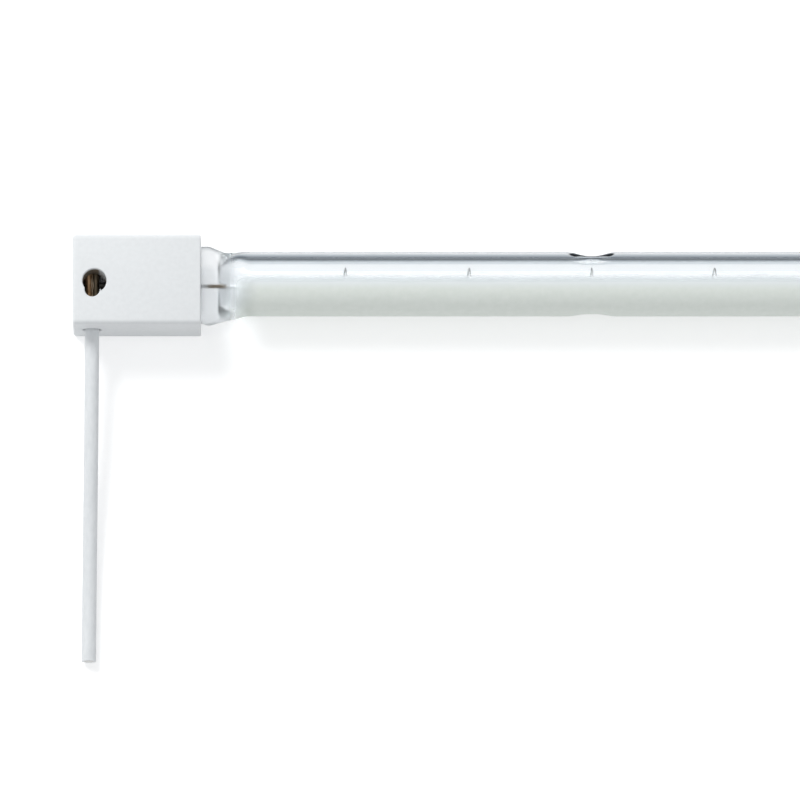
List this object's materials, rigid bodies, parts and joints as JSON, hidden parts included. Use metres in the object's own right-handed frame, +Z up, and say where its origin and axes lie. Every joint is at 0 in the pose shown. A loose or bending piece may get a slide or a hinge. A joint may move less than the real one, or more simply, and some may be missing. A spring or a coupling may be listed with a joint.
{
  "type": "linear halogen heat lamp",
  "caption": "Tubular quartz halogen heat lamp with a white reflector along one side, ceramic end caps and side leads.",
  "frame": {"origin": "on the surface that the lamp lies on, under the middle of its length and of the caps' width", "axes": "+X along the tube, from the left cap to the right cap; +Y away from the side that the leads leave; +Z up from the surface, square to the caps' broad faces"},
  "size_m": [0.3554, 0.0662, 0.0106],
  "materials": {
    "quartz": "clear, polished",
    "reflector_coating": "matt, sprayed",
    "tungsten": "drawn wire",
    "molybdenum": "drawn wire and rolled foil",
    "splice_brass": "heat-tinted sheet",
    "conductor": "pressed strands",
    "lead_insulation": "smooth, dull white",
    "cap_ceramic": "unglazed, pressed",
    "cement": "rough, cast"
  },
  "bodies": {
    "root": {"quartz_tube": "quartz", "reflector_coating": "reflector_coating", "filament": "tungsten", "filament_support_01": "tungsten", "filament_support_02": "tungsten", "filament_support_03": "tungsten", "filament_support_04": "tungsten", "filament_support_05": "tungsten", "filament_support_06": "tungsten", "filament_support_07": "tungsten", "filament_support_08": "tungsten", "filament_support_09": "tungsten", "filament_support_10": "tungsten", "filament_support_11": "tungsten", "filament_support_12": "tungsten", "filament_support_13": "tungsten", "filament_support_14": "tungsten", "filament_support_15": "tungsten", "left_inner_lead": "molybdenum", "left_foil": "molybdenum", "left_outer_pin": "molybdenum", "left_splice": "splice_brass", "left_lead_core": "conductor", "left_lead": "lead_insulation", "left_cap": "cap_ceramic", "left_cement": "cement", "right_inner_lead": "molybdenum", "right_foil": "molybdenum", "right_outer_pin": "molybdenum", "right_splice": "splice_brass", "right_lead_core": "conductor", "right_lead": "lead_insulation", "right_cap": "cap_ceramic", "right_cement": "cement"}
  },
  "joints": []
}
